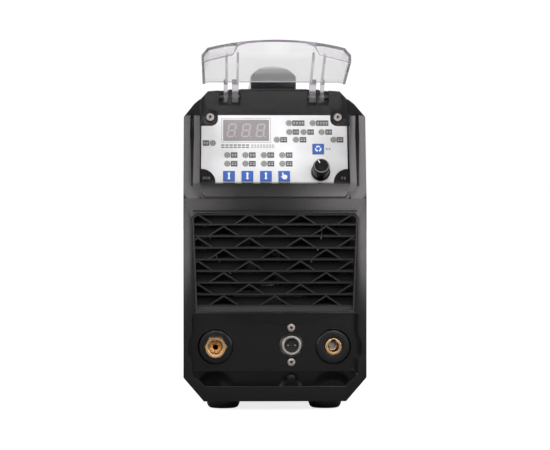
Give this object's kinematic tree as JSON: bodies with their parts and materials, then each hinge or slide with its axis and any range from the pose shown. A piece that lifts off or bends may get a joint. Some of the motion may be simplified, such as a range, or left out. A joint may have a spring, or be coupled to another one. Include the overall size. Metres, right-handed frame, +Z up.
{
  "type": "inverter TIG welding machine",
  "caption": "Portable box-shaped inverter TIG welder with sloping control panel, clear flip-up cover, louvred grille, front sockets, carry handle and rear fan.",
  "frame": {"origin": "on the floor under the middle of the machine's bounding box, cover open", "axes": "+Z up, +X to the right seen from the front, the controls face -Y"},
  "size_m": [0.152, 0.4502, 0.3047],
  "materials": {
    "black_abs": "satin",
    "clear_cover": "polished",
    "overlay_print": "satin",
    "display_tint": "gloss",
    "display_grey": "satin",
    "board_green": "satin",
    "lamp_lens": "gloss",
    "chip_black": "matte",
    "blue_key": "satin",
    "zinc_steel": "satin",
    "screw_steel": "polished",
    "knob_black": "satin",
    "bakelite": "satin",
    "brass": "satin",
    "case_paint": "satin",
    "guard_paint": "satin",
    "foot_rubber": "matte",
    "fan_plastic": "satin",
    "rocker_red": "gloss",
    "aluminium": "satin",
    "capacitor_sleeve": "gloss",
    "ferrite": "matte",
    "copper": "satin"
  },
  "bodies": {
    "machine": {"front_fascia": "black_abs", "front_grille": "black_abs", "connector_plate": "black_abs", "rear_panel": "black_abs", "handle": "black_abs", "control_overlay": "overlay_print", "display_window": "display_tint", "led_display": "display_grey", "display_board": "board_green", "main_board": "board_green", "indicator_leds": "lamp_lens", "tact_switches": "chip_black", "power_transistors": "chip_black", "control_socket_insert": "chip_black", "valve_coil": "chip_black", "encoder_body": "zinc_steel", "socket_bolt": "zinc_steel", "control_socket_shell": "zinc_steel", "case_screws": "zinc_steel", "handle_screws": "zinc_steel", "feet_screws": "zinc_steel", "fan_screws": "zinc_steel", "earth_stud": "zinc_steel", "board_pillars": "zinc_steel", "panel_screws": "screw_steel", "control_socket_screws": "screw_steel", "torch_flange": "bakelite", "earth_flange": "bakelite", "switch_housing": "bakelite", "cable_gland": "bakelite", "torch_socket": "brass", "earth_socket": "brass", "gas_inlet": "brass", "gas_valve": "brass", "control_socket_pins": "brass", "base_tray": "case_paint", "top_cover": "case_paint", "fan_guard": "guard_paint", "hinge_pins": "guard_paint", "rubber_feet": "foot_rubber", "gas_hoses": "foot_rubber", "fan_frame": "fan_plastic", "heat_sinks": "aluminium", "output_rectifier": "aluminium", "bus_capacitors": "capacitor_sleeve", "transformer_core": "ferrite", "arc_start_coil": "ferrite", "transformer_winding": "copper", "output_inductor": "copper", "bus_bars": "copper"},
    "cover": {"flip_cover": "clear_cover"},
    "knob": {"encoder_shaft": "zinc_steel", "adjust_knob": "knob_black"},
    "current_key": {"key_current": "blue_key"},
    "time_key": {"key_time": "blue_key"},
    "gas_key": {"key_gas": "blue_key"},
    "mode_key": {"key_mode": "blue_key"},
    "select_key": {"key_select": "blue_key"},
    "rocker": {"power_rocker": "rocker_red"},
    "fan": {"fan_rotor": "fan_plastic"}
  },
  "joints": [
    {"name": "cover_hinge", "type": "hinge", "parent": "machine", "child": "cover", "pos_m": [0, -0.1389, 0.263], "axis": [1, 0, 0], "range_deg": [0, 74]},
    {"name": "knob_turn", "type": "hinge", "parent": "machine", "child": "knob", "pos_m": [0.0385, -0.16599, 0.19799], "axis": [0, -0.9397, 0.342], "continuous": true},
    {"name": "current_key_press", "type": "slide", "parent": "machine", "child": "current_key", "axis": [0, 0.9397, -0.342], "range_m": [0, 0.0006], "stiffness_N_per_m": 1500},
    {"name": "time_key_press", "type": "slide", "parent": "machine", "child": "time_key", "axis": [0, 0.9397, -0.342], "range_m": [0, 0.0006], "stiffness_N_per_m": 1500},
    {"name": "gas_key_press", "type": "slide", "parent": "machine", "child": "gas_key", "axis": [0, 0.9397, -0.342], "range_m": [0, 0.0006], "stiffness_N_per_m": 1500},
    {"name": "mode_key_press", "type": "slide", "parent": "machine", "child": "mode_key", "axis": [0, 0.9397, -0.342], "range_m": [0, 0.0006], "stiffness_N_per_m": 1500},
    {"name": "select_key_press", "type": "slide", "parent": "machine", "child": "select_key", "axis": [0, 0.9397, -0.342], "range_m": [0, 0.0006], "stiffness_N_per_m": 1500},
    {"name": "power_switch", "type": "hinge", "parent": "machine", "child": "rocker", "pos_m": [0.035, 0.1986, 0.231], "axis": [1, 0, 0], "range_deg": [0, 16]},
    {"name": "fan_spin", "type": "hinge", "parent": "machine", "child": "fan", "pos_m": [0, 0.1871, 0.15], "axis": [0, 1, 0], "continuous": true}
  ]
}
